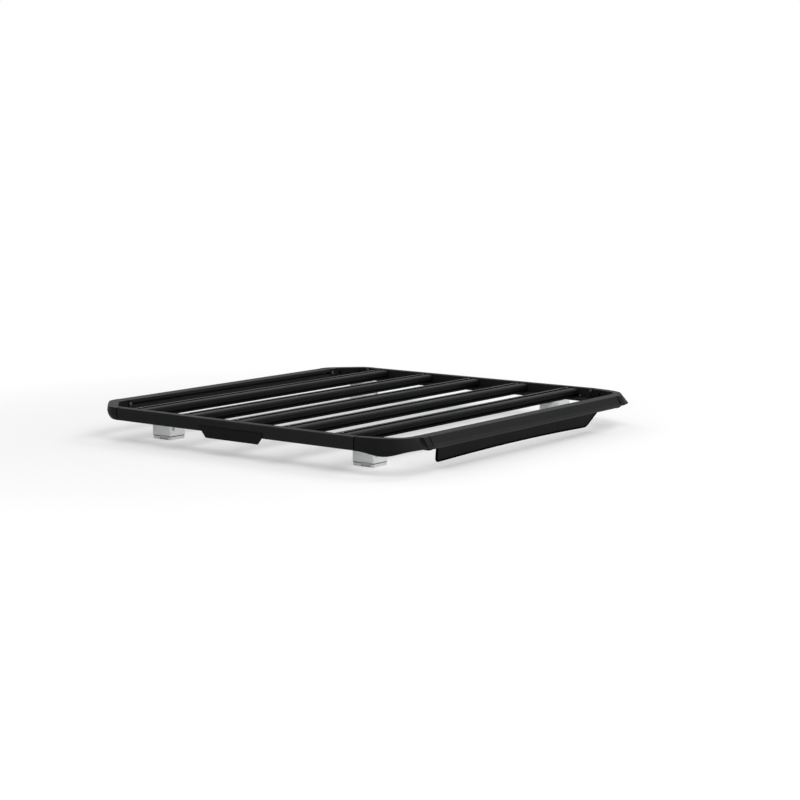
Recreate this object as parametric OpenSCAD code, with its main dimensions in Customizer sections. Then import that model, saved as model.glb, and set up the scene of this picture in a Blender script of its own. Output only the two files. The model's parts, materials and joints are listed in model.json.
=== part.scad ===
// Flat platform roof rack: an extruded rail frame with cast corners, five slotted slats,
// a wind deflector under the nose and four clamp feet.
// +X is forward, +Y is the left side, and the feet stand on Z = 0. Sizes are in millimetres.

/* [Platform] */
// Width across the outer faces of the side rails
platform_w = 1330; // [1100:10:1500]
// Length from the rear face to the tip of the nose
platform_l = 1296; // [1150:2:1500]
// Height of the rail tops above the pads of the feet
deck_h = 110; // [104:1:140]
// Height of the rails
rail_h = 40; // [38:1:50]
// Wall thickness of the extruded rails
rail_wall = 2.5; // [2:0.1:3]

/* [Side rails] */
// Width of a side rail's top face
side_top_w = 27; // [24:1:36]
// Reach of the inner ledge from the outer face
ledge_reach = 67; // [60:1:80]
// Wall thickness of the hollow ledge
ledge_wall = 2; // [1.5:0.1:2.2]

/* [Rear rail] */
// Depth of the rear rail, front to back
rear_rail_w = 50; // [46:1:60]
// Height of the rear rail's slot, from the rail's underside to the middle of the slot
rear_slot_h = 26; // [20:1:28]

/* [Front rail] */
// Depth of the front rail, from its inner face to the tip of the nose
nose_d = 58; // [52:1:70]
// Depth of the front rail's flat top
nose_top_d = 40; // [34:1:44]
// Height of the tip of the nose above the rail's underside
nose_tip_h = 11; // [8:0.5:14]
// How far the front rail's underside stops short of the tip
nose_chin_d = 11; // [6:0.5:14]

/* [Corners] */
// Length of a rear corner along each rail
rear_corner_l = 145; // [135:1:180]
// Leg of the rear corner's outer chamfer
rear_chamfer = 100; // [90:1:114]
// Radius that blends the rear chamfer into the rails
rear_blend_r = 62; // [30:1:80]
// Length of a front corner along the side rail
front_corner_l = 187; // [170:1:220]
// Width of a front corner, measured in from the side
front_corner_w = 131; // [120:1:160]
// Width of the collar where a front corner carries on the shape of the nose
front_collar_w = 24; // [10:1:30]
// How far a front corner's chin hangs below the rails at the bend
front_chin = 12; // [4:0.5:16]
// Wall thickness of the cast corners
cast_wall = 4; // [3:0.5:6]
// Length of the tenons that the corners push into the rails
tenon_l = 35; // [20:1:50]

/* [Slats] */
// Distance from the rear face to the middle of the first slat
first_slat = 203; // [190:1:230]
// Distance from the tip of the nose back to the middle of the last slat
last_slat = 267; // [255:1:290]
// Width of a slat
slat_w = 64; // [58:1:76]
// Height of a slat
slat_h = 29.5; // [25:0.5:30]
// How far the slats lie below the rail tops
slat_drop = 2.7; // [1:0.1:4]
// Radius of a slat's upper edges
slat_edge_r = 8; // [4:0.5:9]
// Clearance between a slat's end and the side rail
slat_gap = 2; // [0.5:0.5:4]
// Height of the flange along a slat's lower edge
flange_h = 5; // [3:0.5:6]
// Height of the groove above that flange
groove_h = 4; // [2:0.5:5]
// Depth of that groove
groove_d = 3; // [1:0.5:4]
// Distance from the side rail to the screw that holds a slat's end
screw_inset = 23; // [16:1:28]

/* [Slots] */
// Width of a slot's mouth
slot_mouth = 8.4; // [7:0.1:9]
// Width of the channel behind a slot's mouth
slot_w = 16; // [14:0.5:18]
// Thickness of the lips beside a slot's mouth
slot_lip = 3; // [2:0.1:4]
// Depth of the channel behind the lips
slot_d = 7; // [5:0.5:7.5]

/* [Deflector] */
// Thickness of the deflector plate
deflector_t = 3; // [2:0.5:4]
// Width of the deflector where it meets the front rail
deflector_top_w = 900; // [700:10:940]
// Width of the deflector at its lower edge
deflector_low_w = 840; // [600:10:860]
// How far the deflector hangs below the front rail
deflector_drop = 51; // [30:1:60]
// Rearward rake of the deflector from upright
deflector_rake = 26.6; // [0:0.1:35]
// Rise of the arched lower edge at its middle
deflector_arch = 8; // [0:1:14]

/* [Feet] */
// Distance from a side rail's outer face to the outer face of a foot
foot_inset = 122; // [90:1:160]
// Length of a foot along the side of the roof
foot_l = 82; // [76:1:100]
// Depth of a foot across the roof
foot_d = 69; // [60:1:80]
// How far a foot's middle lies ahead of the middle of its slat
foot_shift = 17; // [0:1:20]
// Wall thickness of a foot's cover
cover_wall = 3.5; // [2.5:0.5:4.5]
// Height of the cover's lower edge above the roof
cover_edge_h = 12; // [11:0.5:16]
// Thickness of a foot's rubber pad
pad_t = 10; // [6:0.5:10.5]
// Width of a foot's clamp
clamp_w = 35; // [24:1:40]
// How far the clamp's middle lies ahead of the middle of the foot
clamp_shift = 11; // [0:1:12]
// Thickness of the clamp
clamp_t = 3; // [2:0.5:4]
// Width of the mouth between the clamp and the pad
clamp_mouth = 6.5; // [5:0.5:10]
// Distance between a foot's two bolts
bolt_pitch = 32; // [28:1:36]

/* [Side plate] */
// Length of the plate on the right-hand rail, along its upper edge
plate_l = 259; // [200:1:300]
// Height of the plate
plate_h = 34; // [24:1:40]
// How far the plate hangs below the rail
plate_drop = 18; // [5:1:24]
// Thickness of the plate
plate_t = 3; // [2:0.5:5]
// Distance from the rear face to the rear end of the plate
plate_x = 501; // [400:1:600]
// How far the plate's rear end slants
plate_rear_slant = 29; // [0:1:40]
// How far the plate's front end slants, below its upright part
plate_front_slant = 17; // [0:1:24]
// Height of the upright part of the plate's front end
plate_upright = 13; // [5:1:20]

/* [Hidden] */
x_rear = -platform_l / 2;
x_nose = platform_l / 2;
y_side = platform_w / 2;
z_top = deck_h;
z_rail = deck_h - rail_h;
x_front_rail = x_nose - nose_d;
z_slat = z_top - slat_drop - slat_h;
ledge_h = rail_h - slat_drop - slat_h;
slat_half = y_side - side_top_w - slat_gap;
slat_pitch = (platform_l - first_slat - last_slat) / 4;
x_rear_seam = x_rear + rear_corner_l;
x_front_seam = x_nose - front_corner_l;
y_rear_seam = y_side - rear_corner_l;
y_front_seam = y_side - front_corner_w;
fit = 0.3;
z_foot = z_slat;
foot_rows = [0, 4];
foot_r = 6;
bolt_d = 8;
bolt_head_d = 13;
bolt_head_h = 8;
bolt_seat = z_foot - 30;
bolt_rows = [(foot_d - bolt_pitch) / 2, (foot_d + bolt_pitch) / 2];
nut_h = 5;

function unit(v) = v / norm(v);
function wrap(c, i) = let (q = c[(i + len(c)) % len(c)]) [q[0], q[1]];

// Points of a closed outline whose corners [x, y, radius] are rounded by arcs
function rounded(c, steps = 5) = [
    for (i = [0:len(c) - 1])
        let (p = wrap(c, i), r = c[i][2],
             a = unit(wrap(c, i - 1) - p), b = unit(wrap(c, i + 1) - p),
             half = acos(a * b) / 2,
             centre = r == 0 ? p : p + unit(a + b) * r / sin(half),
             s = p + a * r / tan(half) - centre, e = p + b * r / tan(half) - centre,
             sweep = 180 - 2 * half)
        each r == 0 ? [p] : [
            for (k = [0:steps])
                centre + (s * sin((1 - k / steps) * sweep) + e * sin(k / steps * sweep)) / sin(sweep)
        ]
];

function box_corners(x0, y0, x1, y1, r) = [[x0, y0, r], [x1, y0, r], [x1, y1, r], [x0, y1, r]];

// A profile drawn in (Y, Z), extruded from x0 to x1
module along_x(x0, x1) {
    translate([x0, 0, 0]) rotate([90, 0, 90]) linear_extrude(x1 - x0) children();
}

// A profile drawn in (X, Z), extruded from y0 to y1
module along_y(y0, y1) {
    translate([0, y1, 0]) rotate([90, 0, 0]) linear_extrude(y1 - y0) children();
}

// The part as drawn on the right side (-Y), or mirrored to the left
module on_side(left) {
    if (left) mirror([0, 1, 0]) children();
    else children();
}

// A T-slot that opens upwards at v = 0
module slot_profile(over = 1) {
    translate([-slot_mouth / 2, -slot_lip - slot_d / 2]) square([slot_mouth, slot_lip + slot_d / 2 + over]);
    translate([-slot_w / 2, -slot_lip - slot_d]) square([slot_w, slot_d]);
}

// Side rail: a box with a hollow ledge on its inner side that carries the slats
module side_profile() {
    difference() {
        polygon(rounded([
            [0, 0, 2], [ledge_reach, 0, 1.5], [ledge_reach, ledge_h, 1.5],
            [side_top_w, ledge_h, 0], [side_top_w, rail_h, 1.5], [0, rail_h, 4]
        ]));
        polygon(rounded(box_corners(rail_wall, rail_wall, side_top_w - rail_wall, rail_h - rail_wall, 1)));
        polygon(rounded(
            box_corners(side_top_w, ledge_wall, ledge_reach - ledge_wall, ledge_h - ledge_wall, 0.5)
        ));
    }
}

module side_rail(left) {
    color([0.09, 0.09, 0.1])
        on_side(left)
            translate([0, -y_side, z_rail])
                along_x(x_rear_seam, x_front_seam) side_profile();
}

// Rear rail: a hollow extrusion with a slot in its inner face
module rear_profile() {
    channel = rear_rail_w - slot_lip - slot_d;
    difference() {
        polygon(rounded([[0, 0, 2], [rear_rail_w, 0, 1.5], [rear_rail_w, rail_h, 1.5], [0, rail_h, 4]]));
        translate([rear_rail_w, rear_slot_h]) rotate(-90) slot_profile();
        polygon(rounded(box_corners(rail_wall, rail_wall, channel - rail_wall, rail_h - rail_wall, 1)));
        polygon(rounded(box_corners(channel, rail_wall, rear_rail_w - rail_wall,
                                    rear_slot_h - slot_w / 2 - rail_wall, 1)));
    }
}

module rear_rail() {
    color([0.09, 0.09, 0.1])
        translate([x_rear, 0, z_rail])
            along_y(-y_rear_seam, y_rear_seam) rear_profile();
}

// Front rail: a flat top that breaks down to the tip of the nose
module front_profile() {
    lip_h = 7;
    lip_lean = 6;
    difference() {
        polygon(rounded([
            [0, 0, 1.5], [nose_d - nose_chin_d - 8, 0, 3],
            [nose_d - nose_chin_d, 2, 2], [nose_d, nose_tip_h, 1],
            [nose_d - lip_lean, nose_tip_h + lip_h, 3], [nose_top_d, rail_h, 2.5], [0, rail_h, 1.5]
        ]));
        polygon(rounded(box_corners(rail_wall, rail_wall, nose_top_d - rail_wall, rail_h - rail_wall, 1)));
    }
}

module front_rail() {
    color([0.09, 0.09, 0.1])
        translate([x_front_rail, 0, z_rail])
            along_y(-y_front_seam, y_front_seam) front_profile();
}

// A tenon that fills a rail's hollow with a small clearance
module tenon_profile(w) {
    gap = rail_wall + fit;
    polygon(rounded(box_corners(gap, gap, w - gap, rail_h - gap, 1)));
}

// A solid or a hollow stretched over closed rings of points
module loft(rings) {
    n = len(rings[0]);
    m = len(rings);
    points = [for (ring = rings) each ring];
    sides = [
        for (j = [0:m - 2]) for (i = [0:n - 1]) let (k = (i + 1) % n)
            each [[j * n + i, (j + 1) * n + k, (j + 1) * n + i], [j * n + i, j * n + k, (j + 1) * n + k]]
    ];
    polyhedron(points, concat(sides, [[for (i = [n - 1:-1:0]) i]], [[for (i = [0:n - 1]) (m - 1) * n + i]]));
}

function at_height(p, z) = [p[0], p[1], z];

// Rear corner: sections follow the chamfer from the rear rail's seam to the side rail's seam,
// and its outer face swells and tucks under on the way
rear_outer = rounded([
    [0, rear_corner_l, 0], [0, rear_chamfer, rear_blend_r],
    [rear_chamfer, 0, rear_blend_r], [rear_corner_l, 0, 0]
], 6);
rear_inner = rounded([
    [rear_rail_w, rear_corner_l, 0], [rear_rail_w, rear_corner_l + 6 - rear_rail_w, 28],
    [rear_corner_l + 6 - side_top_w, side_top_w, 14], [rear_corner_l, side_top_w, 0]
], 6);
rear_steps = len(rear_outer) - 1;
// How far the outer face stands back at each share of its height, in the middle of the chamfer
rear_tuck = [[0, 13], [0.16, 7.5], [0.36, 3], [0.6, 0], [0.86, 1], [1, 4.5]];

function rear_section(k) =
    let (o = rear_outer[k], i = rear_inner[k], u = unit(i - o), blend = pow(sin(180 * k / rear_steps), 0.6))
    concat(
        [at_height(i, 0)],
        [for (q = rear_tuck) at_height(o + u * q[1] * blend, q[0] * rail_h)],
        [at_height(i, rail_h)]
    );

// The hollow inside, open below; its sections lie between the outer ones
function rear_hollow(k) =
    let (o = (rear_outer[k] + rear_outer[k + 1]) / 2, i = (rear_inner[k] + rear_inner[k + 1]) / 2,
         u = unit(i - o), low = rear_tuck[0][1] + cast_wall)
    [
        at_height(i - u * cast_wall, -rail_h / 3), at_height(o + u * low, -rail_h / 3),
        at_height(o + u * (cast_wall + 4), rail_h / 3),
        at_height(o + u * (cast_wall + 4), rail_h - cast_wall),
        at_height(i - u * cast_wall, rail_h - cast_wall)
    ];

module rear_corner(left) {
    color([0.1, 0.1, 0.11])
        on_side(left)
            translate([x_rear, -y_side, z_rail]) {
                difference() {
                    loft([for (k = [0:rear_steps]) rear_section(k)]);
                    loft([for (k = [1:rear_steps - 2]) rear_hollow(k)]);
                }
                along_x(rear_corner_l, rear_corner_l + tenon_l) tenon_profile(side_top_w);
                along_y(rear_corner_l, rear_corner_l + tenon_l)
                    tenon_profile(rear_rail_w - slot_lip - slot_d);
            }
}

// Front corner: sections turn from the side rail to the nose, and their outer face
// lies back from upright to the slope of the nose on the way
front_steps = 18;

// A curve from a to c that is drawn towards b
function bend(a, b, c, pull, t) =
    let (ca = (1 - t) * (1 - t), cb = 2 * pull * t * (1 - t), cc = t * t)
    (a * ca + b * cb + c * cc) / (ca + cb + cc);

// Plan lines of the inner foot, the chin, the tip, the ridge and the inner top edge
function front_lines(t) =
    let (tip_x = front_corner_l, inner_x = front_corner_l - nose_d, y = front_corner_w - front_collar_w)
    [
        bend([0, side_top_w], [inner_x - 7, 58], [inner_x, y], 2, t),
        bend([0, 0], [tip_x - 19, 5], [tip_x - 6, y], 1.1, t),
        bend([0, 0], [tip_x - 15, 4], [tip_x - 2, y], 1.1, t),
        bend([0, 4], [tip_x - 44, 26], [tip_x - 32, y], 1.5, t),
        bend([0, side_top_w], [inner_x - 7, 56], [inner_x, y], 2, t)
    ];

function ease(t) = t * t * (3 - 2 * t);
function chin_z(t) = 8 * ease(t) - front_chin * pow(sin(180 * pow(t, 0.625)), 4);
function tip_z(t) = (rail_h - 4) * pow(1 - t, 4) + nose_tip_h * ease(t);

function front_section(t) =
    let (line = front_lines(t), z = [0, chin_z(t), tip_z(t), rail_h, rail_h])
    [for (i = [0:4]) at_height(line[i], z[i])];

// A section of the collar, with the nose's tip, slope and flat top
function collar_section(y) =
    let (inner_x = front_corner_l - nose_d)
    [
        [inner_x, y, 0], [front_corner_l - 4, y, chin_z(1)], [front_corner_l, y, nose_tip_h],
        [inner_x + nose_top_d, y, rail_h], [inner_x, y, rail_h]
    ];

function front_hollow(t) =
    let (line = front_lines(t), u = unit(line[2] - line[0]), below = -front_chin - 2,
         wall = cast_wall * 1.3)
    [
        at_height(line[0] + u * cast_wall, below), at_height(line[1] - u * wall, below),
        at_height(line[2] - u * wall, tip_z(t)), at_height(line[3] - u * wall, rail_h - cast_wall * 2),
        at_height(line[0] + u * cast_wall, rail_h - cast_wall)
    ];

module front_corner(left) {
    color([0.1, 0.1, 0.11])
        on_side(left)
            translate([x_front_seam, -y_side, z_rail]) {
                difference() {
                    loft([
                        for (k = [0:front_steps]) front_section(k / front_steps),
                        collar_section(front_corner_w - front_collar_w + 2), collar_section(front_corner_w)
                    ]);
                    loft([for (k = [2:front_steps - 2]) front_hollow(k / front_steps)]);
                }
                along_x(-tenon_l, 0) tenon_profile(side_top_w);
                translate([front_corner_l - nose_d, 0, 0])
                    along_y(front_corner_w, front_corner_w + tenon_l) tenon_profile(nose_top_d);
            }
}

// Slat: a flat hollow bar, crowned, with a slot above and below and a groove along each side
module slat_profile() {
    crown = 1.2;
    core = slot_w / 2 + rail_wall;
    edge = slat_w / 2;
    groove_top = flange_h + groove_h;
    reach = edge - rail_wall;
    difference() {
        polygon(rounded([
            [-edge, 0, 1.5], [edge, 0, 1.5], [edge, slat_h - crown, slat_edge_r],
            [slot_w / 2, slat_h, 0], [-slot_w / 2, slat_h, 0], [-edge, slat_h - crown, slat_edge_r]
        ]));
        translate([0, slat_h]) slot_profile();
        mirror([0, 1]) slot_profile();
        for (side = [-1, 1]) scale([side, 1]) {
            polygon(rounded([
                [core, rail_wall, 1], [reach - groove_d, rail_wall, 1],
                [reach - groove_d, groove_top + rail_wall, 0], [reach, groove_top + rail_wall, 0.5],
                [reach, slat_h - crown - rail_wall, slat_edge_r - rail_wall],
                [core, slat_h - crown - rail_wall, 1]
            ]));
            translate([edge - groove_d, flange_h]) square([groove_d + 1, groove_h]);
        }
    }
}

function slat_x(i) = x_rear + first_slat + i * slat_pitch;

module slat(i) {
    color([0.1, 0.1, 0.11])
        translate([slat_x(i), 0, z_slat])
            along_y(-slat_half, slat_half) slat_profile();
}

// Screws that hold the slats down on the ledges, one in each end of the upper slots
module slat_screws() {
    color([0.2, 0.2, 0.21])
        for (i = [0:4]) for (side = [-1, 1])
            translate([
                slat_x(i), side * (y_side - side_top_w - screw_inset),
                z_top - slat_drop - slot_lip - slot_d
            ])
                cylinder(h = 5, d = bolt_head_d, $fn = 48);
}

// Wind deflector: a raked plate with a flange under the front rail
module deflector_outline() {
    low = deflector_drop / cos(deflector_rake);
    foot = deflector_low_w / 2;
    difference() {
        polygon(rounded([
            [-deflector_top_w / 2, 2, 0], [-foot, -low, 14], [foot, -low, 14], [deflector_top_w / 2, 2, 0]
        ]));
        polygon([
            for (k = [0:12]) let (u = 1 - k / 6)
                [u * (foot - 20), -low - 1 + (deflector_arch + 1) * (1 - u * u)]
        ]);
    }
}

module wind_deflector() {
    color([0.08, 0.08, 0.09])
        translate([x_front_rail + 9, 0, z_rail]) {
            translate([-6, -deflector_top_w / 2, -deflector_t]) cube([24, deflector_top_w, deflector_t]);
            intersection() {
                translate([0, 0, -deflector_t]) rotate([0, deflector_rake, 0]) rotate([90, 0, 90])
                    linear_extrude(deflector_t) deflector_outline();
                translate([-100, -platform_w / 2, -100]) cube([200, platform_w, 100]);
            }
        }
}

module deflector_screws() {
    color([0.2, 0.2, 0.21])
        for (k = [-1.5:1:1.5])
            translate([x_front_rail + 20, k * deflector_top_w / 4, z_rail - deflector_t - 4])
                cylinder(h = 4, d = 12, $fn = 48);
}

// Plain plate on the outer face of the right-hand rail
module side_plate() {
    color([0.07, 0.07, 0.08])
        translate([x_rear + plate_x, -y_side - plate_t, z_rail - plate_drop])
            translate([0, plate_t, 0]) rotate([90, 0, 0]) linear_extrude(plate_t)
                polygon(rounded([
                    [plate_rear_slant, 0, 3], [plate_l - plate_front_slant, 0, 3],
                    [plate_l, plate_h - plate_upright, 2], [plate_l, plate_h, 2], [0, plate_h, 2]
                ]));
}

// Foot pieces are drawn on the right side, with x = 0 at the middle of the slat above
// and y = 0 at the outer face of the foot
module at_foot(row, left) {
    on_side(left) translate([slat_x(foot_rows[row]), foot_inset - y_side, 0]) children();
}

// Plan of a foot, stood in from its outer faces
function foot_plan(in, r = foot_r) =
    box_corners(foot_shift - foot_l / 2 + in, in, foot_shift + foot_l / 2 - in, foot_d - in, r);

module foot_block(in, r, z0, z1) {
    translate([0, 0, z0]) linear_extrude(z1 - z0) polygon(rounded(foot_plan(in, r)));
}

// The clamp's place across the front of a foot, widened by a clearance on both sides
module clamp_strip(clear, y0, y1, z0, z1) {
    translate([foot_shift + clamp_shift - clamp_w / 2 - clear, y0, z0])
        cube([clamp_w + 2 * clear, y1 - y0, z1 - z0]);
}

// The base's boss that carries the slat through the top of the cover
boss_w = 34;
boss_in = 9;
module boss(clear, z0, z1) {
    side = boss_w / 2 + clear;
    translate([0, 0, z0]) linear_extrude(z1 - z0)
        polygon(rounded(box_corners(-side, boss_in - clear, side, foot_d - boss_in + clear, 3)));
}

arm_z = cover_edge_h - 1;
arm_reach = 24;

// Cover: a shell over the base, open below, with a window for the boss and a notch for the clamp
module foot_cover(row, left) {
    color([0.82, 0.83, 0.85])
        at_foot(row, left)
            difference() {
                foot_block(0, foot_r, cover_edge_h, z_foot);
                foot_block(cover_wall, foot_r - 2, cover_edge_h - 1, z_foot - cover_wall);
                boss(fit, z_foot - cover_wall - 1, z_foot + 1);
                clamp_strip(fit, -1, cover_wall + 1, cover_edge_h - 1, arm_z + clamp_t + fit);
            }
}

// Base: the block that carries the rack, bolted up into the slat's lower slot
module foot_base(row, left) {
    color([0.3, 0.3, 0.32])
        at_foot(row, left)
            difference() {
                union() {
                    foot_block(cover_wall + fit, foot_r - 2, pad_t, z_foot - cover_wall - fit);
                    boss(0, z_foot - cover_wall - 1, z_foot);
                }
                clamp_strip(fit, 0, arm_reach + fit, arm_z - fit, arm_z + clamp_t + fit);
                clamp_strip(fit, 0, cover_wall + clamp_mouth, pad_t - 1, arm_z);
                for (y = bolt_rows) translate([0, y, pad_t - 1]) {
                    cylinder(h = z_foot, d = bolt_d + 2 * fit, $fn = 32);
                    cylinder(h = bolt_seat - pad_t + 1, d = bolt_head_d + 4, $fn = 48);
                }
            }
}

// Pad: rubber under the base, cut back behind the clamp
module foot_pad(row, left) {
    color([0.12, 0.12, 0.12])
        at_foot(row, left)
            difference() {
                foot_block(1.5, foot_r - 1, 0, pad_t);
                clamp_strip(fit, -1, clamp_t + clamp_mouth, -1, pad_t + 1);
            }
}

// Clamp: a bent plate whose arm lies in the base and whose leg grips the edge of the roof
module foot_clamp(row, left) {
    color([0.6, 0.6, 0.62])
        at_foot(row, left) {
            clamp_strip(0, -0.5, arm_reach, arm_z, arm_z + clamp_t);
            clamp_strip(0, -0.5, clamp_t - 0.5, 1.5, arm_z + 1);
        }
}

module foot_bolts(row, left) {
    color([0.6, 0.6, 0.62])
        at_foot(row, left)
            for (y = bolt_rows) translate([0, y, 0]) {
                translate([0, 0, bolt_seat - bolt_head_h])
                    cylinder(h = bolt_head_h, d = bolt_head_d, $fn = 48);
                translate([0, 0, bolt_seat - 1])
                    cylinder(h = z_slat + slot_lip + 4 - bolt_seat, d = bolt_d - 0.4, $fn = 32);
                translate([-slot_w / 2 + fit, -slot_w / 2, z_slat + slot_lip])
                    cube([slot_w - 2 * fit, slot_w, nut_h]);
            }
}

side_rail(false);  // side_rail_right
side_rail(true);  // side_rail_left
rear_rail();
front_rail();
rear_corner(false);  // corner_rear_right
rear_corner(true);  // corner_rear_left
front_corner(false);  // corner_front_right
front_corner(true);  // corner_front_left
slat(0);  // slat_1
slat(1);  // slat_2
slat(2);  // slat_3
slat(3);  // slat_4
slat(4);  // slat_5
slat_screws();
wind_deflector();
deflector_screws();
side_plate();
foot_base(0, false);  // foot_base_rear_right
foot_base(0, true);  // foot_base_rear_left
foot_base(1, false);  // foot_base_front_right
foot_base(1, true);  // foot_base_front_left
foot_cover(0, false);  // foot_cover_rear_right
foot_cover(0, true);  // foot_cover_rear_left
foot_cover(1, false);  // foot_cover_front_right
foot_cover(1, true);  // foot_cover_front_left
foot_pad(0, false);  // foot_pad_rear_right
foot_pad(0, true);  // foot_pad_rear_left
foot_pad(1, false);  // foot_pad_front_right
foot_pad(1, true);  // foot_pad_front_left
foot_clamp(0, false);  // foot_clamp_rear_right
foot_clamp(0, true);  // foot_clamp_rear_left
foot_clamp(1, false);  // foot_clamp_front_right
foot_clamp(1, true);  // foot_clamp_front_left
foot_bolts(0, false);  // foot_bolts_rear_right
foot_bolts(0, true);  // foot_bolts_rear_left
foot_bolts(1, false);  // foot_bolts_front_right
foot_bolts(1, true);  // foot_bolts_front_left
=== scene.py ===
import bpy
import bmesh
import json
import math
from mathutils import Matrix, Vector


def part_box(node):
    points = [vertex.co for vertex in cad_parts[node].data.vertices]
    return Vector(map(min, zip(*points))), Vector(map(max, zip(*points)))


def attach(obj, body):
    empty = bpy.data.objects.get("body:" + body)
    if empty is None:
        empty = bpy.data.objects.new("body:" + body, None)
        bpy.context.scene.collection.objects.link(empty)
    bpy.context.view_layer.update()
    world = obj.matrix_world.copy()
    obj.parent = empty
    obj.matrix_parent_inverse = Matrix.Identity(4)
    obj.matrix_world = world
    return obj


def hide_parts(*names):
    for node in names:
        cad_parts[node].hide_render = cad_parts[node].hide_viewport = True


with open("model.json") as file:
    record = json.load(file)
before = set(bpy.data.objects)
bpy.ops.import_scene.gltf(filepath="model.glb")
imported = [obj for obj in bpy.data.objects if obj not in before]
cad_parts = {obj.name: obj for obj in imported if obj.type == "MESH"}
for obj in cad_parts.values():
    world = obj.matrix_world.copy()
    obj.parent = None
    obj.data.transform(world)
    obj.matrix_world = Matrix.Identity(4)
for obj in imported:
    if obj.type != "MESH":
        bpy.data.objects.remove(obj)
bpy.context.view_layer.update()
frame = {"nodes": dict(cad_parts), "record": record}
print("frame loaded:", len(frame["nodes"]), "nodes")


# camera, at the height and angle the photograph was taken from
cameraSettings = {
    "place": (3.595, -4.583, 0.9214),
    "turn": (82.0, 0.0, 37.14),  # degrees
    "lens": 80.0, "sensor": 36.0,  # millimetres
}


def addCamera(s):
    data = bpy.data.cameras.new("camera")
    data.lens = s["lens"]
    data.sensor_width = s["sensor"]
    cam = bpy.data.objects.new("camera", data)
    cam.location = s["place"]
    cam.rotation_euler = [math.radians(a) for a in s["turn"]]
    bpy.context.scene.collection.objects.link(cam)
    bpy.context.scene.camera = cam


addCamera(cameraSettings)
print("camera placed")


# small helpers for node materials
def newMaterial(name):
    mat = bpy.data.materials.new(name)
    mat.use_nodes = True
    tree = mat.node_tree
    tree.nodes.clear()
    out = tree.nodes.new("ShaderNodeOutputMaterial")
    shader = tree.nodes.new("ShaderNodeBsdfPrincipled")
    tree.links.new(shader.outputs[0], out.inputs[0])
    coords = tree.nodes.new("ShaderNodeTexCoord")
    return mat, tree, shader, coords.outputs["Object"]


def noise(tree, vector, scale, detail=3.0, roughness=0.5):
    node = tree.nodes.new("ShaderNodeTexNoise")
    node.inputs["Scale"].default_value = scale
    node.inputs["Detail"].default_value = detail
    node.inputs["Roughness"].default_value = roughness
    tree.links.new(vector, node.inputs["Vector"])
    return node.outputs["Fac"]


def ramp(tree, value, low, high, start=0.3, end=0.7):
    node = tree.nodes.new("ShaderNodeValToRGB")
    node.color_ramp.elements[0].position = start
    node.color_ramp.elements[1].position = end
    node.color_ramp.elements[0].color = (*low, 1.0) if isinstance(low, tuple) else (low, low, low, 1.0)
    node.color_ramp.elements[1].color = (*high, 1.0) if isinstance(high, tuple) else (high, high, high, 1.0)
    tree.links.new(value, node.inputs[0])
    return node.outputs[0]


def bump(tree, shader, height, distance, strength=1.0, before=None):
    node = tree.nodes.new("ShaderNodeBump")
    node.inputs["Distance"].default_value = distance
    node.inputs["Strength"].default_value = strength
    tree.links.new(height, node.inputs["Height"])
    if before:
        tree.links.new(before, node.inputs["Normal"])
    if shader:
        tree.links.new(node.outputs[0], shader.inputs["Normal"])
    return node.outputs[0]


# rounds the shading of sharp edges by the radius
def softEdges(tree, radius, samples=4):
    node = tree.nodes.new("ShaderNodeBevel")
    node.samples = samples
    node.inputs["Radius"].default_value = radius
    return node.outputs[0]


# how each kind of finish is mottled: its clouds, where the paler tone starts and ends, roughness and grain
mottling = {
    "coat": {"cloud": 3.5, "cloudDetail": 4.0, "cloudRough": 0.6, "start": 0.42, "end": 0.85,
             "smoother": 0.04, "rougher": 0.06, "grainDetail": 2.0, "bump": 0.6},
    "plastic": {"cloud": 6.0, "cloudDetail": 4.0, "cloudRough": 0.6, "start": 0.35, "end": 0.8,
                "smoother": 0.05, "rougher": 0.06, "grainDetail": 2.0, "bump": 0.7},
    "steel": {"cloud": 180.0, "cloudDetail": 3.0, "cloudRough": 0.5, "dull": 0.8,
              "smoother": 0.06, "rougher": 0.08, "grainDetail": 2.0, "bump": 0.5,
              "depth": 0.00003, "edge": 0.0004},
}


# powder coat: a fine orange-peel skin, a little paler where hands and straps rub it
coatSettings = {
    "railCoat": {"colour": (0.0124, 0.0127, 0.0132), "rubbed": (0.0178, 0.0182, 0.0188), "rough": 0.50,
                 "specular": 0.041, "grain": 900.0, "grainDepth": 0.00005, "edge": 0.0009},
    "castCoat": {"colour": (0.0048, 0.0049, 0.0053), "rubbed": (0.0092, 0.0095, 0.0101), "rough": 0.52,
                 "specular": 0.072, "grain": 620.0, "grainDepth": 0.00008, "edge": 0.0012},
    "slatCoat": {"colour": (0.0042, 0.0044, 0.0048), "rubbed": (0.0100, 0.0103, 0.0110), "rough": 0.46,
                 "specular": 0.05, "grain": 900.0, "grainDepth": 0.00005, "edge": 0.0008},
}


def coatMaterial(name, s):
    mat, tree, shader, place = newMaterial(name)
    m = mottling["coat"]
    cloudy = noise(tree, place, m["cloud"], m["cloudDetail"], m["cloudRough"])
    colour = ramp(tree, cloudy, s["colour"], s["rubbed"], m["start"], m["end"])
    tree.links.new(colour, shader.inputs["Base Color"])
    fine = noise(tree, place, s["grain"], m["grainDetail"])
    roughness = ramp(tree, cloudy, s["rough"] - m["smoother"], s["rough"] + m["rougher"])
    tree.links.new(roughness, shader.inputs["Roughness"])
    shader.inputs["Specular IOR Level"].default_value = s["specular"]
    bump(tree, shader, fine, s["grainDepth"], m["bump"], softEdges(tree, s["edge"]))
    return mat


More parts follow.
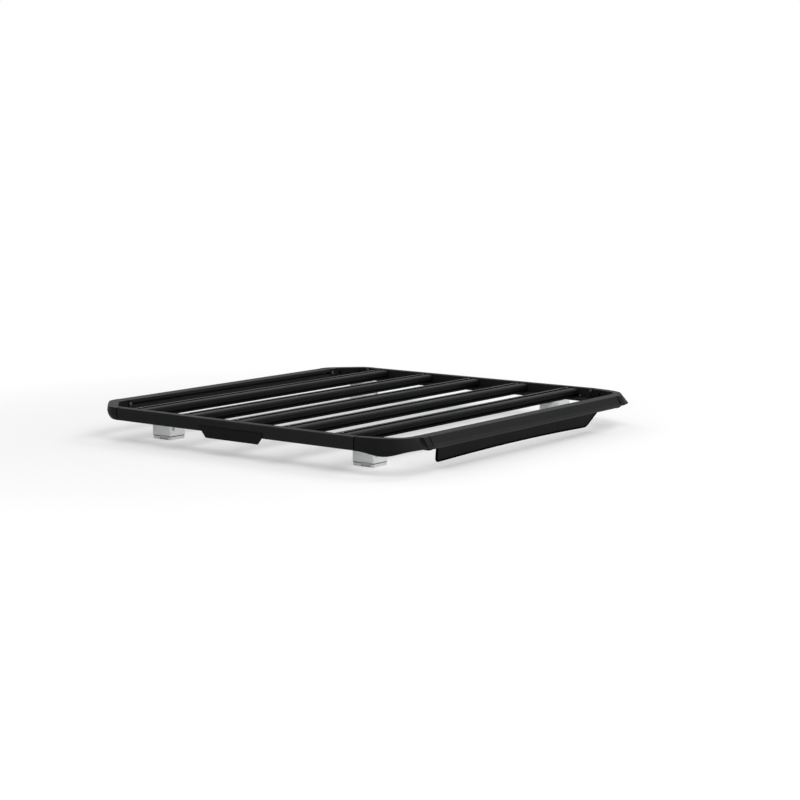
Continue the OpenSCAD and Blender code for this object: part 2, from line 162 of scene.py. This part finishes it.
# moulded plastics and rubber, and a near-black that paints shade
plasticSettings = {
    "deflectorSkin": {"colour": (0.0045, 0.0046, 0.0049), "worn": (0.0075, 0.0077, 0.0081), "rough": 0.55,
                      "specular": 0.05, "grain": 420.0, "depth": 0.0001, "edge": 0.0008},
    "plateSkin": {"colour": (0.0042, 0.0043, 0.0046), "worn": (0.0070, 0.0071, 0.0075), "rough": 0.5,
                  "specular": 0.06, "grain": 700.0, "depth": 0.00006, "edge": 0.0006},
    "coverPlastic": {"colour": (0.74, 0.75, 0.76), "worn": (0.79, 0.80, 0.81), "rough": 0.55,
                     "specular": 0.3, "grain": 520.0, "depth": 0.00008, "edge": 0.0012},
    "basePlastic": {"colour": (0.66, 0.67, 0.68), "worn": (0.71, 0.72, 0.73), "rough": 0.6,
                    "specular": 0.3, "grain": 420.0, "depth": 0.0001, "edge": 0.001},
    "padRubber": {"colour": (0.70, 0.705, 0.71), "worn": (0.75, 0.755, 0.76), "rough": 0.8,
                  "specular": 0.2, "grain": 260.0, "depth": 0.00015, "edge": 0.001},
    # near-black with no gloss: the rubber of the slot inserts and the deflector's bead, and the painted shade
    # in the joints, holes, sockets, slots, grooves, plate edge and feet
    "rubberAndShade": {"colour": (0.0014, 0.0014, 0.0015), "worn": (0.0026, 0.0026, 0.0028), "rough": 0.85,
                     "specular": 0.0, "grain": 500.0, "depth": 0.00005, "edge": 0.0003},
    "clampCoat": {"colour": (0.42, 0.425, 0.435), "worn": (0.47, 0.475, 0.48), "rough": 0.5,
                  "specular": 0.4, "grain": 600.0, "depth": 0.00006, "edge": 0.0008},
}


def plasticMaterial(name, s):
    mat, tree, shader, place = newMaterial(name)
    m = mottling["plastic"]
    cloudy = noise(tree, place, m["cloud"], m["cloudDetail"], m["cloudRough"])
    colour = ramp(tree, cloudy, s["colour"], s["worn"], m["start"], m["end"])
    tree.links.new(colour, shader.inputs["Base Color"])
    roughness = ramp(tree, cloudy, s["rough"] - m["smoother"], s["rough"] + m["rougher"])
    tree.links.new(roughness, shader.inputs["Roughness"])
    shader.inputs["Specular IOR Level"].default_value = s["specular"]
    fine = noise(tree, place, s["grain"], m["grainDetail"])
    bump(tree, shader, fine, s["depth"], m["bump"], softEdges(tree, s["edge"]))
    return mat


# plated and blackened steel of the screws and bolts
steelSettings = {
    "blackSteel": {"colour": (0.014, 0.0143, 0.015), "metallic": 0.5, "rough": 0.45, "grain": 1500.0},
    "dullSteel": {"colour": (0.13, 0.13, 0.134), "metallic": 0.8, "rough": 0.45, "grain": 1500.0},
    "zincSteel": {"colour": (0.60, 0.61, 0.63), "metallic": 1.0, "rough": 0.34, "grain": 1200.0},
}


def steelMaterial(name, s):
    mat, tree, shader, place = newMaterial(name)
    m = mottling["steel"]
    mottled = noise(tree, place, m["cloud"], m["cloudDetail"], m["cloudRough"])
    dull = tuple(c * m["dull"] for c in s["colour"])
    tree.links.new(ramp(tree, mottled, dull, s["colour"]), shader.inputs["Base Color"])
    roughness = ramp(tree, mottled, s["rough"] - m["smoother"], s["rough"] + m["rougher"])
    tree.links.new(roughness, shader.inputs["Roughness"])
    shader.inputs["Metallic"].default_value = s["metallic"]
    fine = noise(tree, place, s["grain"], m["grainDetail"])
    bump(tree, shader, fine, m["depth"], m["bump"], softEdges(tree, m["edge"]))
    return mat


materials = {name: coatMaterial(name, s) for name, s in coatSettings.items()}
materials.update({name: plasticMaterial(name, s) for name, s in plasticSettings.items()})
materials.update({name: steelMaterial(name, s) for name, s in steelSettings.items()})
print("materials made:", len(materials))

# which finish each slot of the record wears
finishOfSlot = {
    "rail_black": "railCoat", "cast_black": "castCoat", "slat_black": "slatCoat", "black_screw": "blackSteel",
    "deflector_black": "deflectorSkin", "plate_black": "plateSkin", "cover_grey": "coverPlastic",
    "base_grey": "basePlastic", "pad_rubber": "padRubber", "clamp_grey": "clampCoat",
    "bolt_steel": "zincSteel",
}


def dressNodes():
    slots = {p["node"]: p["material_slot"] for p in frame["record"]["subparts"]}
    for name, node in frame["nodes"].items():
        node.data.materials.clear()
        node.data.materials.append(materials[finishOfSlot[slots[name]]])


dressNodes()
print("CAD nodes dressed")


# helpers for new pieces
sharpAngle = 32.0  # degrees: an edge that turns more than this stays crisp


def finishPiece(name, bm, finish, smooth=True):
    bmesh.ops.recalc_face_normals(bm, faces=bm.faces[:])
    mesh = bpy.data.meshes.new(name)
    bm.to_mesh(mesh)
    bm.free()
    if smooth:
        mesh.polygons.foreach_set("use_smooth", [True] * len(mesh.polygons))
        mesh.set_sharp_from_angle(angle=math.radians(sharpAngle))
    mesh.materials.append(materials[finish])
    piece = bpy.data.objects.new(name, mesh)
    bpy.context.scene.collection.objects.link(piece)
    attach(piece, "root")
    return piece


def turnedTo(axis, place):
    turn = Vector((0, 0, 1)).rotation_difference(Vector(axis)).to_matrix().to_4x4()
    return Matrix.Translation(place) @ turn


# raises the open edge loop and gives back the new one
def raiseLoop(bm, edges, lift, grow):
    made = bmesh.ops.extrude_edge_only(bm, edges=edges)["geom"]
    verts = [g for g in made if isinstance(g, bmesh.types.BMVert)]
    middle = sum((v.co for v in verts), Vector()) / len(verts)
    for v in verts:
        v.co = middle + (v.co - middle) * grow + Vector((0, 0, lift))
    return [g for g in made if isinstance(g, bmesh.types.BMEdge) and all(v in verts for v in g.verts)]


# a screw head's outline, in shares of its height and radius, and the shade in its socket
screwShape = {
    "sides": 24, "wall": 0.45, "dome": 0.35, "domeGrow": 0.93, "crown": 0.2, "crownGrow": 0.82,
    "socketDeep": 0.7, "shadeAt": 0.35, "shadeThick": 0.1, "shadeIn": 0.04,
}


# a button-head screw with a hexagon socket, its seat at the place and its head along the axis
def addScrew(bm, place, axis, radius, height, socket):
    part = bmesh.new()
    s = screwShape
    ring = bmesh.ops.create_circle(part, segments=s["sides"], radius=radius)["verts"]
    base = part.edges[:]
    part.faces.new(ring[::-1])
    shoulder = raiseLoop(part, base, height * s["wall"], 1.0)
    dome = raiseLoop(part, shoulder, height * s["dome"], s["domeGrow"])
    crown = raiseLoop(part, dome, height * s["crown"], s["crownGrow"])
    hexRing = bmesh.ops.create_circle(part, segments=6, radius=socket)["verts"]
    for v in hexRing:
        v.co.z = height
    hexEdges = [e for e in part.edges if all(v in hexRing for v in e.verts)]
    bmesh.ops.bridge_loops(part, edges=crown + hexEdges)
    floor = raiseLoop(part, hexEdges, -height * s["socketDeep"], 1.0)
    bmesh.ops.contextual_create(part, geom=floor)
    bmesh.ops.recalc_face_normals(part, faces=part.faces[:])
    bmesh.ops.transform(part, matrix=turnedTo(axis, place), verts=part.verts[:])
    joinInto(bm, part)


# the shade in the bottom of a screw's hexagon socket
def addSocketShade(bm, place, axis, height, socket):
    s = screwShape
    angles = [math.radians(60 * k) for k in range(6)]
    corners = [(socket * math.cos(a), socket * math.sin(a)) for a in angles]
    matrix = turnedTo(axis, place) @ Matrix.Translation((0, 0, height * s["shadeAt"]))
    addSlab(bm, corners, height * s["shadeThick"], -socket * s["shadeIn"], matrix)


def joinInto(bm, part):
    mesh = bpy.data.meshes.new("part")
    part.to_mesh(mesh)
    part.free()
    bm.from_mesh(mesh)
    bpy.data.meshes.remove(mesh)


# a flat outline in the plane across an axis, drawn out to a slab and swollen a little all round
def addSlab(bm, corners, thickness, swell, matrix, rounding=0.0, steps=3):
    part = bmesh.new()
    part.faces.new([part.verts.new((x, y, 0)) for x, y in corners])
    if rounding:
        bmesh.ops.bevel(part, geom=part.verts[:], offset=rounding, segments=steps, profile=0.5,
                        affect="VERTICES", material=-1)
    raised = bmesh.ops.extrude_face_region(part, geom=part.faces[:])["geom"]
    top = [g for g in raised if isinstance(g, bmesh.types.BMVert)]
    bmesh.ops.translate(part, vec=(0, 0, thickness), verts=top)
    bmesh.ops.recalc_face_normals(part, faces=part.faces[:])
    part.normal_update()
    moves = [(v, Vector((v.normal.x, v.normal.y, 0)).normalized() * swell) for v in part.verts]
    for v, move in moves:
        v.co += move
    bmesh.ops.transform(part, matrix=matrix, verts=part.verts[:])
    joinInto(bm, part)


# planes for outlines: (Y, Z) at a given X, (X, Z) at a given Y, (X, Y) at a given Z
def acrossX(x):
    return Matrix(((0, 0, 1, x), (1, 0, 0, 0), (0, 1, 0, 0), (0, 0, 0, 1)))


def acrossY(y, side=1.0):
    return Matrix(((1, 0, 0, 0), (0, 0, side, y), (0, 1, 0, 0), (0, 0, 0, 1)))


# the frame's own sizes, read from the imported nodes
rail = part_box("side_rail_right")
railLow, railTop, railOut = rail[0][2], rail[1][2], -rail[0][1]
seamRear, seamFront = rail[0][0], rail[1][0]
rearRail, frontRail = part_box("rear_rail"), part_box("front_rail")
sideTop = 0.027  # width of a side rail's flat top
innerWall = railOut - sideTop
slatCount = 5


# painted shade: black strips that stand in for the shadow gaps in the joints between the castings and the
# rails
jointShadeSettings = {
    "thick": 0.0034, "proud": 0.00015, "chamfer": 0.003,
    "noseThick": 0.0036, "noseProud": 0.0009, "noseShift": 0.0052, "noseTop": 0.018,
    # each corner of the nose's face: how far behind the tip, how far above the underside
    "noseShape": [(0.019, 0.0), (0.011, 0.002), (0.0009, 0.011), (0.006, 0.018)],
}


# a rail's outline at a joint, in (across, up), chamfered at its outer upper edge
def railOutline(outer, inner, outward, s):
    cut = s["chamfer"]
    return [(outer, railLow), (inner, railLow), (inner, railTop),
            (outer - outward * cut, railTop), (outer, railTop - cut)]


def noseOutline(s):
    tail, tip = frontRail[0][0], frontRail[1][0]
    top = railTop - s["noseProud"] + s["proud"]
    face = [(tip - back, railLow + up) for back, up in s["noseShape"]]
    return [(tail, railLow)] + face + [(tip - s["noseTop"], top), (tail, top)]


# draws the painted shade of each joint's gap as a thin black strip
def makeJointShades(s):
    bm = bmesh.new()
    half = s["thick"] / 2
    for side in (-1, 1):
        for x in (seamRear, seamFront):
            outline = railOutline(side * railOut, side * innerWall, side, s)
            addSlab(bm, outline, s["thick"], s["proud"], acrossX(x - half))
        outline = railOutline(rearRail[0][0], rearRail[1][0], -1, s)
        addSlab(bm, outline, s["thick"], s["proud"], acrossY(side * rearRail[1][1] - half))
        noseY = side * (frontRail[1][1] - s["noseShift"]) - s["noseThick"] / 2
        addSlab(bm, noseOutline(s), s["noseThick"], s["noseProud"], acrossY(noseY))
    finishPiece("jointShades", bm, "rubberAndShade")


makeJointShades(jointShadeSettings)
print("joint gaskets in")


# screws that pin the rails to the castings, seen from inside the frame, and the castings' drain holes, whose
# shade is painted as dark discs, with painted shade in the screws' sockets
cornerScrewSettings = {
    "headRadius": 0.0052, "headHeight": 0.0032, "socket": 0.0026,
    "slotBolts": [(-0.5120, 0.0962), (0.5345, 0.0965)],
    "wall": [(0.4625, 0.1035), (0.4200, 0.0825), (-0.5105, 0.1030)], "wallShare": 0.85,
    "holeShades": [((0.5035, 0.6257, 0.0950), (-0.305, -0.952)), ((-0.5905, 0.5705, 0.0950), (0.707, -0.707)),
              ((-0.5380, 0.6240, 0.0955), (0.707, -0.707))],
    "holeRadius": 0.0048, "holeProud": 0.0008, "holeWell": 0.5,
}


def makeCornerScrews(s):
    screws, holeShades = bmesh.new(), bmesh.new()
    size = (s["headRadius"], s["headHeight"], s["socket"])
    small = [value * s["wallShare"] for value in size]
    for y, z in s["slotBolts"]:
        addScrew(screws, (rearRail[1][0], y, z), (1, 0, 0), *size)
        addSocketShade(holeShades, (rearRail[1][0], y, z), (1, 0, 0), size[1], size[2])
    for side in (-1, 1):
        for x, z in s["wall"]:
            addScrew(screws, (x, side * innerWall, z), (0, -side, 0), *small)
            addSocketShade(holeShades, (x, side * innerWall, z), (0, -side, 0), small[1], small[2])
        for (x, y, z), (faceX, faceY) in s["holeShades"]:
            seat, axis, radius = (x, side * y, z), (faceX, side * faceY, 0), s["holeRadius"]
            addScrew(holeShades, seat, axis, radius, s["holeProud"], radius * s["holeWell"])
    finishPiece("cornerScrews", screws, "dullSteel")
    # the dark discs and socket plates are painted shade
    finishPiece("cornerHoleShades", holeShades, "rubberAndShade")


makeCornerScrews(cornerScrewSettings)
print("corner screws in")


# each slat is held by a screw in its slot at both ends, over a black insert, with painted shade in the
# screw's socket
slotScrewSettings = {
    "fromWall": 0.023, "insert": (0.0140, 0.030, 0.0010), "insertRound": 0.005, "insertSunk": 0.4,
    "headRadius": 0.0040, "headHeight": 0.0020, "socket": 0.0019,
}


def makeSlotScrews(s):
    insertsAndShade, screws = bmesh.new(), bmesh.new()
    for i in range(1, slatCount + 1):
        low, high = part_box("slat_%d" % i)
        x, top = (low[0] + high[0]) / 2, high[2]
        wide, long, thick = s["insert"]
        for side in (-1, 1):
            y = side * (innerWall - s["fromWall"])
            box = [(x - wide / 2, y - long / 2), (x + wide / 2, y - long / 2),
                   (x + wide / 2, y + long / 2), (x - wide / 2, y + long / 2)]
            sunk = top - thick * s["insertSunk"]
            addSlab(insertsAndShade, box, thick, 0.0, Matrix.Translation((0, 0, sunk)), s["insertRound"])
            seat = (x, y, sunk + thick)
            addScrew(screws, seat, (0, 0, 1), s["headRadius"], s["headHeight"], s["socket"])
            addSocketShade(insertsAndShade, seat, (0, 0, 1), s["headHeight"], s["socket"])
    finishPiece("slotInsertsAndShade", insertsAndShade, "rubberAndShade")
    piece = finishPiece("slotScrews", screws, "dullSteel")
    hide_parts("slat_screws")


makeSlotScrews(slotScrewSettings)
print("slot screws in")


# painted shade: black strips on both lips of each slat's upper slot for the shade inside it, and a black
# strip that laps over the groove along each side for the groove's shadow
slatShadeSettings = {
    "endGap": 0.001, "mouth": 0.0042, "inward": 0.0003,
    "lipWide": 0.0024, "lipProud": 0.0003, "lipDeep": 0.0016,
    "grooveDeep": 0.0030, "grooveTop": 0.0090, "shadeLow": 0.0078, "shadeHigh": 0.0114, "shadeProud": 0.00035,
    "bedded": 0.0001,  # how deep the black strips sit in the metal behind them
}


def makeSlatShades(s):
    mouthShades, grooveShades = bmesh.new(), bmesh.new()
    for i in range(1, slatCount + 1):
        low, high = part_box("slat_%d" % i)
        middle = (low[0] + high[0]) / 2
        start, length = low[1] + s["endGap"], high[1] - low[1] - 2 * s["endGap"]
        for side in (-1, 1):
            near = middle + side * (s["mouth"] - s["inward"])
            far = middle + side * (s["mouth"] + s["lipWide"])
            deep, proud = high[2] - s["lipDeep"], high[2] + s["lipProud"]
            lip = [(near, deep), (far, deep), (far, proud), (near, proud)]
            addSlab(mouthShades, lip, length, 0.0, acrossY(start))
            face = high[0] if side > 0 else low[0]
            inner, outer = face - side * (s["grooveDeep"] + s["bedded"]), face + side * s["shadeProud"]
            skin, roof = face - side * s["bedded"], low[2] + s["grooveTop"] - s["bedded"]
            bottom, top = low[2] + s["shadeLow"], low[2] + s["shadeHigh"]
            shadeOutline = [(inner, bottom), (outer, bottom), (outer, top), (skin, top), (skin, roof), (inner, roof)]
            addSlab(grooveShades, shadeOutline, length, 0.0, acrossY(start))
    # both pieces are painted shade
    finishPiece("slotMouthShade", mouthShades, "rubberAndShade")
    finishPiece("slatGrooveShade", grooveShades, "rubberAndShade")


makeSlatShades(slatShadeSettings)
print("slat edging in")


# screws under the front rail, and a rubber bead round the deflector's free edges
deflectorSettings = {
    "screwY": (-0.3375, -0.1125, 0.1125, 0.3375), "screwX": 0.610,
    "screwRadius": 0.006, "screwHeight": 0.002, "screwSocket": 0.45,
    "bead": 0.0037, "beadIn": 0.0021, "beadStart": 0.002, "beadSteps": 3, "cornerSteps": 6, "archSteps": 12,
    "topHalf": 0.450, "lowHalf": 0.420, "drop": 0.051, "rake": 26.6, "arch": 0.008, "archStart": 0.020,
    "thick": 0.003, "cornerCut": 0.0119, "footX": 0.599,
}


def makeDeflectorScrews(s):
    bm = bmesh.new()
    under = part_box("deflector_screws")[1][2]  # the flange's lower face
    radius = s["screwRadius"]
    for y in s["screwY"]:
        addScrew(bm, (s["screwX"], y, under), (0, 0, -1), radius, s["screwHeight"], radius * s["screwSocket"])
    piece = finishPiece("deflectorScrewHeads", bm, "deflectorSkin")
    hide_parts("deflector_screws")


# the deflector's outline from one upper corner round the lower edge to the other, in (y, down)
def deflectorEdge(s):
    low = s["drop"] / math.cos(math.radians(s["rake"])) - s["beadIn"]
    start, bend = Vector((s["topHalf"], 0.0)), Vector((s["lowHalf"], low))
    down = (bend - start).normalized()
    edge = [start + down * s["beadStart"]]
    first, last = bend - down * s["cornerCut"], bend - Vector((s["cornerCut"], 0.0))
    for k in range(s["cornerSteps"] + 1):
        t = k / s["cornerSteps"]
        edge.append(first * (1 - t) ** 2 + bend * 2 * t * (1 - t) + last * t * t)
    reach = s["lowHalf"] - s["archStart"]
    for k in range(1, s["archSteps"]):
        u = 1 - k / s["archSteps"]
        edge.append(Vector((u * reach, low - s["arch"] * (1 - u * u))))
    return edge + [Vector((-p.x, p.y)) for p in reversed(edge)]


def makeDeflectorTrim(s):
    rake = math.radians(s["rake"])
    curve = bpy.data.curves.new("deflectorTrim", "CURVE")
    curve.dimensions = "3D"
    curve.bevel_depth = s["bead"]
    curve.bevel_resolution = s["beadSteps"]
    curve.use_fill_caps = True
    spline = curve.splines.new("POLY")
    points = deflectorEdge(s)
    spline.points.add(len(points) - 1)
    middle = s["thick"] / 2
    for point, p in zip(spline.points, points):
        x = s["footX"] + middle * math.cos(rake) - p.y * math.sin(rake)
        z = railLow - s["thick"] - middle * math.sin(rake) - p.y * math.cos(rake)
        point.co = (x, p.x, z, 1.0)
    holder = bpy.data.objects.new("trimPath", curve)
    bpy.context.scene.collection.objects.link(holder)
    mesh = bpy.data.meshes.new_from_object(holder)
    bm = bmesh.new()
    bm.from_mesh(mesh)
    bpy.data.meshes.remove(mesh)
    bpy.data.objects.remove(holder)
    bpy.data.curves.remove(curve)
    finishPiece("deflectorTrim", bm, "rubberAndShade")


makeDeflectorScrews(deflectorSettings)
makeDeflectorTrim(deflectorSettings)
print("deflector trimmed")


# the plain plate on the right-hand rail: a raised border round a sunk bare field, and a painted shadow line
# round its edge
plateSettings = {
    "rearSlant": 0.029, "frontSlant": 0.017, "upright": 0.013, "round": 0.0024, "roundSteps": 4,
    "border": 0.0022, "step": 0.0006, "sink": 0.0007, "shadowThick": 0.0005, "shadowProud": 0.0013,
    "outward": -0.9,  # a face whose normal is below this in Y looks out from the rail
}


def makePlate(s):
    low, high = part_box("side_plate")
    bm = bmesh.new()
    outline = [(low[0] + s["rearSlant"], low[2]), (high[0] - s["frontSlant"], low[2]),
               (high[0], high[2] - s["upright"]), (high[0], high[2]), (low[0], high[2])]
    bm.faces.new([bm.verts.new((x, high[1], z)) for x, z in outline])
    bmesh.ops.bevel(bm, geom=bm.verts[:], offset=s["round"], segments=s["roundSteps"], profile=0.5,
                    affect="VERTICES", material=-1)
    raised = bmesh.ops.extrude_face_region(bm, geom=bm.faces[:])["geom"]
    outer = [g for g in raised if isinstance(g, bmesh.types.BMVert)]
    bmesh.ops.translate(bm, vec=(0, low[1] - high[1], 0), verts=outer)
    bmesh.ops.recalc_face_normals(bm, faces=bm.faces[:])
    front = [f for f in bm.faces if f.normal.y < s["outward"]]
    bmesh.ops.inset_region(bm, faces=front, thickness=s["border"], depth=0.0)
    front = [f for f in bm.faces if f.normal.y < s["outward"] and len(f.verts) > 4]
    bmesh.ops.inset_region(bm, faces=front, thickness=s["step"], depth=-s["sink"])
    piece = finishPiece("platePanel", bm, "plateSkin")
    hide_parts("side_plate")
    # a thin black slab behind the plate, a little wider than it: painted shadow line round the plate's edge
    seat = bmesh.new()
    addSlab(seat, outline, s["shadowThick"], s["shadowProud"], acrossY(high[1] - s["shadowThick"]))
    finishPiece("plateShadowLine", seat, "rubberAndShade")


makePlate(plateSettings)
print("plate in")


# on each foot: a lock barrel near the outer edge of its front face with painted shade in its keyhole, a dark
# band of painted shade in the gap under the cover and a painted contact shadow along the lower edge of the
# clamp's tab
footTrimSettings = {
    "radius": 0.0072, "height": 0.0014, "fromSide": 0.0125, "z": 0.0368,
    "lockSides": 28, "wallGrow": 0.96, "lipGrow": 0.84, "wellDeep": 0.5, "wellGrow": 0.97,
    "key": (0.0011, 0.0050), "keyThick": 0.0003,
    "seamIn": -0.0003, "seamRound": 0.0050, "seamLap": 0.0004,
    "tabShadeIn": 0.0005, "tabShadeLow": 0.0002, "tabShadeHigh": 0.0013, "tabShadeProud": 0.0004,
}


def addLock(barrels, keys, place, s):
    part = bmesh.new()
    ring = bmesh.ops.create_circle(part, segments=s["lockSides"], radius=s["radius"])["verts"]
    edges = part.edges[:]
    part.faces.new(ring[::-1])
    wall = raiseLoop(part, edges, s["height"], s["wallGrow"])
    lip = raiseLoop(part, wall, 0.0, s["lipGrow"])
    well = raiseLoop(part, lip, -s["height"] * s["wellDeep"], s["wellGrow"])
    bmesh.ops.contextual_create(part, geom=well)
    bmesh.ops.transform(part, matrix=turnedTo((1, 0, 0), place), verts=part.verts[:])
    joinInto(barrels, part)
    # the keyhole is a dark slab: painted shade in the keyway
    wide, tall = s["key"]
    slit = [(place.y - wide / 2, place.z - tall / 2), (place.y + wide / 2, place.z - tall / 2),
            (place.y + wide / 2, place.z + tall / 2), (place.y - wide / 2, place.z + tall / 2)]
    addSlab(keys, slit, s["keyThick"], 0.0, acrossX(place.x + s["height"] * s["wellDeep"]), s["keyThick"])


def makeFootTrim(s):
    barrels, footShade = bmesh.new(), bmesh.new()
    for row in ("rear", "front"):
        for side, name in ((-1, "right"), (1, "left")):
            low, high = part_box("foot_cover_%s_%s" % (row, name))
            outer = low[1] if side < 0 else high[1]
            addLock(barrels, footShade, Vector((high[0], outer - side * s["fromSide"], s["z"])), s)
            # a dark ring in the gap between the pad and the cover: painted shade
            padLow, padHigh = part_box("foot_pad_%s_%s" % (row, name))
            x0, y0, x1, y1 = (padLow[0] + s["seamIn"], padLow[1] + s["seamIn"],
                              padHigh[0] - s["seamIn"], padHigh[1] - s["seamIn"])
            seamThick = low[2] - padHigh[2] + 2 * s["seamLap"]
            addSlab(footShade, [(x0, y0), (x1, y0), (x1, y1), (x0, y1)], seamThick, 0.0,
                    Matrix.Translation((0, 0, padHigh[2] - s["seamLap"])), s["seamRound"])
            # a dark strip along the tab's lower edge: painted contact shadow
            armLow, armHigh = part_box("foot_clamp_%s_%s" % (row, name))
            armFace = armLow[1] if side < 0 else armHigh[1]
            x0, x1 = armLow[0] + s["tabShadeIn"], armHigh[0] - s["tabShadeIn"]
            z0, z1 = armLow[2] + s["tabShadeLow"], armLow[2] + s["tabShadeHigh"]
            addSlab(footShade, [(x0, z0), (x1, z0), (x1, z1), (x0, z1)], s["tabShadeProud"] * 2, 0.0,
                    acrossY(armFace - side * s["tabShadeProud"], side))
    finishPiece("lockBarrels", barrels, "clampCoat")
    finishPiece("footShadeLines", footShade, "rubberAndShade")


makeFootTrim(footTrimSettings)
print("foot trim in")


# the floor, the world and the lamps
stageSettings = {
    "floorSize": 60.0, "floorDrop": 0.0003, "floorColour": (0.93, 0.93, 0.93), "floorRough": 0.9,
    "floorGlow": 0.30, "floorWhite": 1.15, "fadeFrom": 0.8, "fadeTo": 3.2, "worldStrength": 0.5,
    "keyPlace": (3.4, -1.4, 3.8), "keySize": 3.5, "keyPower": 120.0,
    "fillPlace": (-3.5, 1.0, 3.5), "fillSize": 3.0, "fillPower": 30.0,
    "rimPlace": (1.5, 3.5, 3.6), "rimSize": 2.0, "rimPower": 45.0,
}


def addLamp(name, place, size, power):
    data = bpy.data.lights.new(name, "AREA")
    data.shape = "SQUARE"
    data.size = size
    data.energy = power
    lamp = bpy.data.objects.new(name, data)
    lamp.location = place
    lamp.rotation_euler = (-Vector(place)).to_track_quat("-Z", "Y").to_euler()
    bpy.context.scene.collection.objects.link(lamp)


def mathNode(tree, operation, first, second):
    node = tree.nodes.new("ShaderNodeMath")
    node.operation = operation
    for socket, value in zip(node.inputs, (first, second)):
        if isinstance(value, float):
            socket.default_value = value
        else:
            tree.links.new(value, socket)
    return node.outputs[0]


def raysThatSee(tree):
    path = tree.nodes.new("ShaderNodeLightPath")
    seen = mathNode(tree, "MAXIMUM", path.outputs["Is Camera Ray"], path.outputs["Is Glossy Ray"])
    return mathNode(tree, "MAXIMUM", seen, path.outputs["Is Transmission Ray"])


# the floor takes a faint shadow near the rack and fades to plain white around it
def floorMaterial(s):
    mat, tree, shader, place = newMaterial("floorPaint")
    shader.inputs["Base Color"].default_value = (*s["floorColour"], 1.0)
    shader.inputs["Roughness"].default_value = s["floorRough"]
    shader.inputs["Specular IOR Level"].default_value = 0.0
    white = tree.nodes.new("ShaderNodeEmission")
    white.inputs["Strength"].default_value = s["floorWhite"]
    away = tree.nodes.new("ShaderNodeVectorMath")
    away.operation = "LENGTH"
    tree.links.new(place, away.inputs[0])
    fade = tree.nodes.new("ShaderNodeMapRange")
    fade.interpolation_type = "SMOOTHSTEP"
    for socket, value in (("From Min", s["fadeFrom"]), ("From Max", s["fadeTo"]), ("To Min", s["floorGlow"])):
        fade.inputs[socket].default_value = value
    tree.links.new(away.outputs["Value"], fade.inputs["Value"])
    mix = tree.nodes.new("ShaderNodeMixShader")
    tree.links.new(mathNode(tree, "MULTIPLY", raysThatSee(tree), fade.outputs["Result"]), mix.inputs[0])
    tree.links.new(shader.outputs[0], mix.inputs[1])
    tree.links.new(white.outputs[0], mix.inputs[2])
    out = next(n for n in tree.nodes if n.type == "OUTPUT_MATERIAL")
    tree.links.new(mix.outputs[0], out.inputs[0])
    return mat


def addFloor(s):
    bm = bmesh.new()
    bmesh.ops.create_grid(bm, x_segments=1, y_segments=1, size=s["floorSize"] / 2)
    bmesh.ops.translate(bm, vec=(0, 0, -s["floorDrop"]), verts=bm.verts[:])  # just under the pads
    mesh = bpy.data.meshes.new("floor")
    bm.to_mesh(mesh)
    bm.free()
    floor = bpy.data.objects.new("floor", mesh)
    bpy.context.scene.collection.objects.link(floor)
    mesh.materials.append(floorMaterial(s))


def addWorld(s):
    world = bpy.data.worlds.new("studio")
    bpy.context.scene.world = world
    world.use_nodes = True
    tree = world.node_tree
    tree.nodes.clear()
    out = tree.nodes.new("ShaderNodeOutputWorld")
    light = tree.nodes.new("ShaderNodeBackground")
    seen = tree.nodes.new("ShaderNodeBackground")
    mix = tree.nodes.new("ShaderNodeMixShader")
    light.inputs["Strength"].default_value = s["worldStrength"]
    seen.inputs["Strength"].default_value = 1.0
    for background in (light, seen):
        background.inputs["Color"].default_value = (1.0, 1.0, 1.0, 1.0)
    tree.links.new(raysThatSee(tree), mix.inputs[0])
    tree.links.new(light.outputs[0], mix.inputs[1])
    tree.links.new(seen.outputs[0], mix.inputs[2])
    tree.links.new(mix.outputs[0], out.inputs[0])


addFloor(stageSettings)
addWorld(stageSettings)
for lamp in ("key", "fill", "rim"):
    addLamp(lamp + "Lamp", *[stageSettings[lamp + part] for part in ("Place", "Size", "Power")])
bpy.context.scene.view_settings.view_transform = "Standard"
print("stage set")
